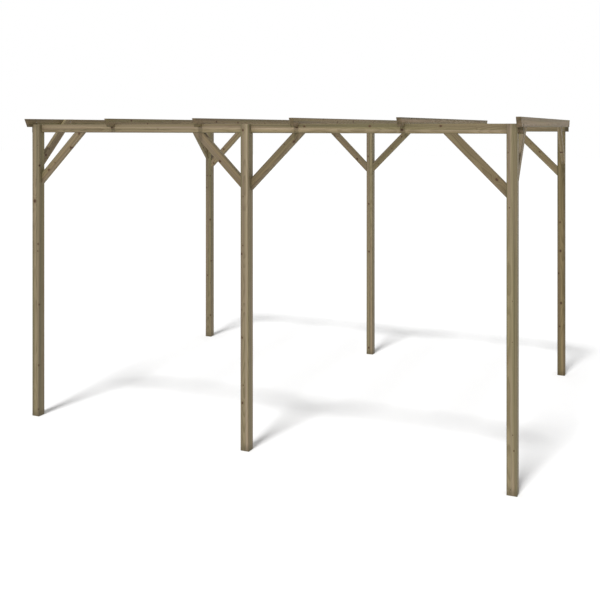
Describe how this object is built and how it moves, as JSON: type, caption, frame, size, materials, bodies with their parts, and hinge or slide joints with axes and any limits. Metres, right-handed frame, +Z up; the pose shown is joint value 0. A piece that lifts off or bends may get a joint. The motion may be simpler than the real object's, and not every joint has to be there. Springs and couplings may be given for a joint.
{
  "type": "open timber carport frame",
  "caption": "Open carport frame of square timber posts, notched beams and splayed rafters, with knee braces in the corners.",
  "frame": {"origin": "on the floor, at the middle of the plan", "axes": "+X along the beams, to the right seen from the front; +Y along the rafters, from the front row to the back row; +Z up"},
  "size_m": [4.078, 3.142, 2.501],
  "materials": {
    "post_timber": "planed pressure-treated softwood, weathered grey-brown",
    "beam_timber": "planed pressure-treated softwood, weathered grey-brown",
    "rafter_timber": "planed pressure-treated softwood, weathered grey-green",
    "brace_timber": "planed pressure-treated softwood, weathered brown",
    "screws": "dulled zinc-plated steel"
  },
  "bodies": {
    "root": {"front_left_post": "post_timber", "front_middle_post": "post_timber", "front_right_post": "post_timber", "back_left_post": "post_timber", "back_middle_post": "post_timber", "back_right_post": "post_timber", "front_beam": "beam_timber", "back_beam": "beam_timber", "rafter_1": "rafter_timber", "rafter_2": "rafter_timber", "rafter_3": "rafter_timber", "rafter_4": "rafter_timber", "rafter_5": "rafter_timber", "rafter_6": "rafter_timber", "front_brace_1": "brace_timber", "front_brace_2": "brace_timber", "front_brace_3": "brace_timber", "front_brace_4": "brace_timber", "back_brace_1": "brace_timber", "back_brace_2": "brace_timber", "back_brace_3": "brace_timber", "back_brace_4": "brace_timber", "front_left_side_brace": "brace_timber", "front_right_side_brace": "brace_timber", "back_left_side_brace": "brace_timber", "back_right_side_brace": "brace_timber"}
  },
  "joints": []
}
